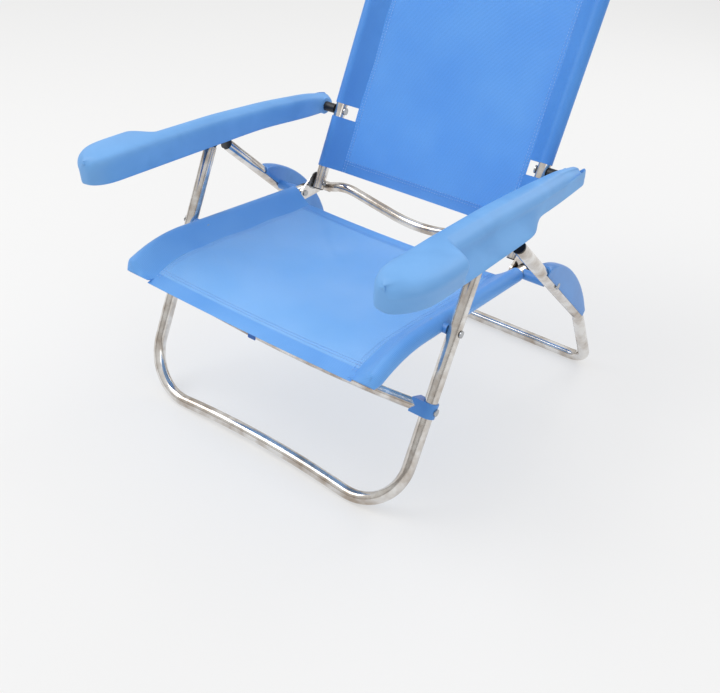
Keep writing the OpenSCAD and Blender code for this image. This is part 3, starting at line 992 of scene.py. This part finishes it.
@dataclass
class Armrest:
    """A moulded shell, open below: a wide pad in front, a waist with a flared skirt, a tail."""

    side: Side
    nose_y: float = -78.0
    tail_y: float = 512.0
    inner_x: float = 257.0
    pad_x: float = 338.0
    waist_x: float = 303.0
    tail_x: float = 292.0
    step_y: float = 58.0
    skirt_x: float = 326.0
    skirt_end_y: float = 300.0
    wall: float = 2.6
    corner_in: Point = (26.0, 44.0)
    corner_out: Point = (50.0, 72.0)
    draft: float = 9.0
    crease_z: float = 452.0
    boss_r: float = 16.0
    bolt_r: float = 4.3
    crown_line: tuple[Point, ...] = ((-78, 467), (-66, 474.5), (-40, 478), (60, 479), (200, 477),
                                     (330, 470), (440, 461), (498, 450), (512, 441))

    @staticmethod
    def ease(value: float, low: float, high: float) -> float:
        """Returns how far a value has gone from low to high, from 0 to 1, smoothly."""
        t = min(max((value - low) / (high - low), 0.0), 1.0)
        return t * t * (3 - 2 * t)

    def top(self, y: float) -> float:
        """Finds the height of the top.

        Args:
            y: the side-view position.

        Returns:
            The crown's height there.
        """
        for (a, za), (b, zb) in zip(self.crown_line, self.crown_line[1:]):
            if y <= b:
                t = (y - a) / (b - a)
                return za + (zb - za) * t
        return self.crown_line[-1][1]

    def section(self, y: float) -> list[Point]:
        """Works out the shell's outside at y.

        Args:
            y: the side-view position.

        Returns:
            Points (x, z) from the inner lower edge over the top to the outer lower edge.
        """
        nose = min((y - self.nose_y) / self.corner_out[1], 1.0)
        nose_in = min((y - self.nose_y) / self.corner_in[1], 1.0)
        tail = min((self.tail_y - y) / 16.0, 1.0)
        round_out = 1 - math.sqrt(max(1 - (1 - nose) ** 2, 0.0))
        round_in = 1 - math.sqrt(max(1 - (1 - nose_in) ** 2, 0.0))
        round_tail = 1 - math.sqrt(max(1 - (1 - tail) ** 2, 0.0))
        waist = self.ease(y, self.step_y - 12, self.step_y + 14)
        narrow = self.ease(y, self.skirt_end_y, self.tail_y)
        low = self.inner_x + self.corner_in[0] * round_in + 10 * round_tail
        edge = self.pad_x + (self.waist_x - self.pad_x) * waist + (self.tail_x - self.waist_x) * narrow
        high = edge - self.corner_out[0] * round_out - 10 * round_tail
        wide = high - low
        wide_share = wide / 60.0
        crown = self.top(y)
        flare = waist * (1 - self.ease(y, self.skirt_end_y - 40, self.skirt_end_y + 20))
        tail_drop = self.ease(y, self.skirt_end_y - 30, 470)
        bottom = 430 + (426 - 430) * flare + (421 - 430) * tail_drop
        inner_bottom = 431 + (420 - 431) * tail_drop
        lean = self.draft * (1 - waist) * min(wide_share, 1.0)
        out_x = high + (self.skirt_x - self.waist_x) * flare - lean
        # Behind the pad the wall turns in under the top before the skirt flares out.
        tuck = high - 1.5 * waist - lean * 0.4
        return [
            (low, inner_bottom),
            (low, (inner_bottom + crown) / 2),
            (low, crown - 15),
            (low + 1.2, crown - 8.5),
            (low + 4.5, crown - 3.6),
            (low + 11, crown - 0.8),
            (low + wide * 0.35, crown + 1.2),
            (low + wide * 0.6, crown + 0.6),
            (high - 15, crown - 2.0),
            (high - 7, crown - 5.5),
            (high - 2.0, crown - 11),
            (high, crown - 17),
            (tuck, self.crease_z),
            (tuck + (out_x - tuck) * 0.35, (self.crease_z * 0.62 + bottom * 0.38)),
            (tuck + (out_x - tuck) * 0.75, (self.crease_z * 0.28 + bottom * 0.72)),
            (out_x, bottom),
        ]

    def stations(self) -> list[float]:
        """Places the shell's sections, closer together where it curves.

        Returns:
            Their side-view positions, in rising order.
        """
        ys = [self.nose_y + 0.4, self.nose_y + 2, self.nose_y + 5, self.nose_y + 10, self.nose_y + 17,
              self.nose_y + 26, self.nose_y + 38]
        ys += [-22, 0, 22, 40, 47, 53, 59, 65, 71, 78, 95]
        ys += [120 + 25 * i for i in range(14)]
        ys += [462, 480, 492, self.tail_y - 12, self.tail_y - 6, self.tail_y - 2, self.tail_y - 0.4]
        return sorted(ys)

    def build(self, finishes: Finishes) -> bpy.types.Object:
        """Builds the shell and the boss round its pivot.

        Args:
            finishes: the chair's finishes.

        Returns:
            The shell.
        """
        sign = self.side.value
        mesh = bmesh.new()
        grid = []
        for y in self.stations():
            grid.append([mesh.verts.new(FRAME.place(sign * x, y, z)) for x, z in self.section(y)])
        for a, b in zip(grid, grid[1:]):
            for j in range(len(a) - 1):
                mesh.faces.new((a[j], a[j + 1], b[j + 1], b[j]))
        for row in (grid[0], grid[-1]):
            count = len(row)
            for j in range(count // 2 - 1):
                mesh.faces.new((row[j], row[j + 1], row[count - 2 - j], row[count - 1 - j]))
        bmesh.ops.recalc_face_normals(mesh, faces=mesh.faces)
        shell = finish_mesh(f"armrest_shell_{self.side.name.lower()}", mesh, [finishes.arm])
        self.face_outward(shell)
        solid = shell.modifiers.new("wall", "SOLIDIFY")
        solid.thickness = self.wall * MM
        solid.offset = -1.0
        smooth = shell.modifiers.new("smooth", "SUBSURF")
        smooth.levels = smooth.render_levels = 2
        apply_modifiers(shell)
        shade_smooth(shell, 60)
        boss = self.build_boss(finishes)
        body = f"arm_{self.side.name.lower()}"
        for piece in (shell, boss):
            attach(piece, body)
        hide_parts(f"armrest_{self.side.name.lower()}")
        LOG.info("%s: %d faces", shell.name, len(shell.data.polygons))
        return shell

    @staticmethod
    def face_outward(shell: bpy.types.Object) -> None:
        """Turns the shell's faces outwards.

        Args:
            shell: the shell, which is judged by its topmost face.
        """
        top = max(shell.data.polygons, key=lambda p: p.center.z)
        if top.normal.z < 0:
            shell.data.flip_normals()

    def build_boss(self, finishes: Finishes) -> bpy.types.Object:
        """Builds the round boss inside the shell, through which the pivot bolt goes.

        Args:
            finishes: the chair's finishes.

        Returns:
            The boss.
        """
        y, z = FRAME.arm_pivot
        inner, outer = self.inner_x + 0.4, self.inner_x + 15
        profile = [
            (inner, self.bolt_r), (inner, self.boss_r - 1), (inner + 1, self.boss_r),
            (outer - 1.2, self.boss_r), (outer, self.boss_r - 1.2), (outer, self.bolt_r),
        ]
        mesh = bmesh.new()
        rings = []
        for i in range(40):
            a = 2 * math.pi * i / 40
            rings.append([
                mesh.verts.new(FRAME.place(self.side.value * x, y + r * math.cos(a), z + r * math.sin(a)))
                for x, r in profile
            ])
        for i, ring in enumerate(rings):
            after = rings[(i + 1) % len(rings)]
            for j in range(len(profile)):
                k = (j + 1) % len(profile)
                mesh.faces.new((ring[j], ring[k], after[k], after[j]))
        bmesh.ops.recalc_face_normals(mesh, faces=mesh.faces)
        boss = finish_mesh(f"armrest_boss_{self.side.name.lower()}", mesh, [finishes.arm])
        shade_smooth(boss, 30)
        return boss


# ---- Heel bumpers


@dataclass
class HeelBumper:
    """A moulded crescent that clips over the back of a rear leg, from above its pivot to its knee."""

    side: Side
    leg_angle: float = 40.5
    leg_x: float = 310.0
    splay: float = 0.0195
    top: float = 60.0
    end: float = -184.0
    rise: float = 45.0
    tip_rise: float = 13.0
    bore: float = 11.3
    rings: int = 40
    half_width: float = 13.2
    lip: float = 1.5

    def height(self, s: float) -> float:
        """Works out the crescent's outline.

        Args:
            s: how far up the leg from the rear pivot.

        Returns:
            How far the crown is from the leg's middle line.
        """
        middle, half = (self.top + self.end) / 2, (self.top - self.end) / 2
        share = (s - middle) / half
        return self.tip_rise + (self.rise - self.tip_rise) * max(1 - share ** 2, 0.0) ** 0.85

    def at(self, s: float, out: float, across: float) -> Vector:
        """Finds a point of the bumper.

        Args:
            s: how far up the leg from the rear pivot.
            out: how far out from the leg's middle line.
            across: how far across the leg.

        Returns:
            The point in the row's frame.
        """
        lean = math.radians(self.leg_angle)
        y = FRAME.rear_pivot[0] - s * math.cos(lean) + out * math.sin(lean)
        z = FRAME.rear_pivot[1] + s * math.sin(lean) + out * math.cos(lean)
        return FRAME.place(self.side.value * (self.leg_x - s * self.splay + across), y, z)

    def section(self, height: float) -> list[Point]:
        """Works out the closed section at a height of the crown.

        Args:
            height: the crown's distance from the leg's middle line.

        Returns:
            Points (across, out) round the outside and back along the groove for the tube.
        """
        wide, deep = self.half_width, -self.lip
        slim = wide - 3.5 * min(max((height - 16) / 30, 0.0), 1.0)
        outside = [(-wide, deep), (-wide, 5.0), (-slim, height * 0.72), (-slim + 1.5, height - 2.6),
                   (-slim + 5.0, height - 0.4), (0.0, height), (slim - 5.0, height - 0.4),
                   (slim - 1.5, height - 2.6), (slim, height * 0.72), (wide, 5.0), (wide, deep)]
        groove = [
            (self.bore * math.cos(a), self.bore * math.sin(a))
            for a in (math.radians(-6 + 192 * i / 12) for i in range(13))
        ]
        return outside + groove

    def build(self, finishes: Finishes) -> bpy.types.Object:
        """Builds the bumper.

        Args:
            finishes: the chair's finishes.

        Returns:
            The bumper.
        """
        mesh = bmesh.new()
        rings = []
        for i in range(self.rings + 1):
            # The sections are closer together at the two tips, where the crescent runs out.
            share = 0.5 - 0.5 * math.cos(math.pi * i / self.rings)
            s = self.end + (self.top - self.end) * share
            section = self.section(self.height(s))
            rings.append([mesh.verts.new(self.at(s, out, across)) for across, out in section])
        count = len(rings[0])
        for a, b in zip(rings, rings[1:]):
            for j in range(count):
                k = (j + 1) % count
                mesh.faces.new((a[j], a[k], b[k], b[j]))
        for ring in (rings[0], rings[-1]):
            mesh.faces.new(ring)
        bmesh.ops.recalc_face_normals(mesh, faces=mesh.faces)
        name = f"bumper_shell_{self.side.name.lower()}"
        shell = finish_mesh(name, mesh, [finishes.clip])
        edge = shell.modifiers.new("edge", "BEVEL")
        edge.width = 0.8 * MM
        edge.segments = 2
        edge.angle_limit = math.radians(45)
        apply_modifiers(shell)
        shade_smooth(shell, 45)
        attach(shell, "rear_legs")
        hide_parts(f"heel_bumper_{self.side.name.lower()}")
        LOG.info("%s: %d faces", name, len(shell.data.polygons))
        return shell


# ---- Frame and hardware that keep their CAD shapes


@dataclass
class Hardware:
    """The tubes, rivets and moulded fittings, which keep their designed shapes."""

    def dress(self, finishes: Finishes) -> None:
        """Gives each designed piece the finish of its slot.

        Args:
            finishes: the chair's finishes.
        """
        slots = {s["node"]: s["material_slot"] for s in frame["record"]["subparts"]}
        for name, piece in frame["nodes"].items():
            piece.data.materials.clear()
            piece.data.materials.append(finishes.for_slot(slots[name]))
            LOG.info("%s: %s", name, slots[name])


# ---- Studio


@dataclass
class Studio:
    """The floor, the lights and the camera."""

    azimuth: float = 35.36
    elevation: float = 33.44
    roll: float = 3.37
    position: tuple[float, float, float] = (0.8163, -1.1702, 1.0042)
    lens_mm: float = 44.31
    floor_size: float = 40.0
    aim: tuple[float, float, float] = (0.0, 0.0, 0.3)
    world_strength: float = 0.92
    world: tuple[tuple[float, str], ...] = (
        (0.0, "#5a5650"), (0.40, "#8a8580"), (0.49, "#4d4a47"), (0.56, "#d9d7d4"), (1.0, "#ffffff"))

    def build(self) -> None:
        """Builds the studio."""
        bpy.context.scene.view_settings.view_transform = "Standard"
        self.place_camera()
        self.lay_floor()
        self.light_world()
        self.add_softbox("key", (-1.8, -1.2, 3.0), 2.2, 48.0)
        self.add_softbox("fill", (2.4, -1.0, 1.8), 1.6, 10.0)
        self.add_softbox("rim", (0.4, 2.6, 2.2), 1.6, 18.0)

    def place_camera(self) -> None:
        """Places the camera at its azimuth, elevation and roll."""
        az, el = math.radians(self.azimuth), math.radians(self.elevation)
        back = Vector((math.sin(az) * math.cos(el), -math.cos(az) * math.cos(el), math.sin(el)))
        right = (-back).cross(Vector((0, 0, 1))).normalized()
        up = back.cross(right).normalized()
        turn = Matrix((right, up, back)).transposed().to_4x4()
        turn = turn @ Matrix.Rotation(math.radians(self.roll), 4, "Z")
        lens = bpy.data.cameras.new("camera")
        lens.lens = self.lens_mm
        lens.sensor_width = 36.0
        lens.sensor_fit = "HORIZONTAL"
        camera = bpy.data.objects.new("camera", lens)
        camera.matrix_world = Matrix.Translation(Vector(self.position)) @ turn
        bpy.context.scene.collection.objects.link(camera)
        bpy.context.scene.camera = camera

    def lay_floor(self) -> None:
        """Lays the pale floor."""
        half = self.floor_size / 2
        data = bpy.data.meshes.new("studio_floor")
        corners = [(-half, -half, 0), (half, -half, 0), (half, half, 0), (-half, half, 0)]
        data.from_pydata(corners, [], [(0, 1, 2, 3)])
        paper = StudioPaper("matt_studio_paper", 0.9).make()
        floor = make_object("studio_floor", data, [paper])

    def light_world(self) -> None:
        """Lights the room: pale above, with a darker band low down that the polished tubes pick up."""
        world = bpy.data.worlds.new("studio")
        world.use_nodes = True
        tree = world.node_tree
        place = add_node(tree, "ShaderNodeTexCoord").outputs["Generated"]
        parts = add_node(tree, "ShaderNodeSeparateXYZ", links={"Vector": place})
        height = add_node(
            tree, "ShaderNodeMapRange", links={"Value": parts.outputs["Z"]},
            inputs={"From Min": -1.0, "From Max": 1.0},
        ).outputs["Result"]
        colour = ramp(tree, height, [(p, linear(c)) for p, c in self.world])
        background = tree.nodes["Background"]
        tree.links.new(colour, background.inputs["Color"])
        background.inputs["Strength"].default_value = self.world_strength
        bpy.context.scene.world = world

    def add_softbox(self, name: str, place: tuple[float, float, float], size: float, power: float) -> None:
        """Adds a soft square light that faces the chair.

        Args:
            name: the light's name.
            place: where it stands.
            size: the length of its side.
            power: its power in watts.
        """
        lamp = bpy.data.lights.new(name, "AREA")
        lamp.size = size
        lamp.energy = power
        light = bpy.data.objects.new(name, lamp)
        turn = (Vector(self.aim) - Vector(place)).to_track_quat("-Z", "Y").to_matrix().to_4x4()
        light.matrix_world = Matrix.Translation(Vector(place)) @ turn
        bpy.context.scene.collection.objects.link(light)


def main() -> None:
    """Builds the chair and its studio."""
    logging.basicConfig(level=logging.INFO, format="%(name)s: %(message)s")
    Studio().build()
    finishes = Finishes()
    Hardware().dress(finishes)
    Seat().build(finishes)
    ClosingStrap().build(finishes)
    Back().build(finishes)
    for side in Side:
        Armrest(side).build(finishes)
        HeelBumper(side).build(finishes)


if __name__ == "__main__":
    main()
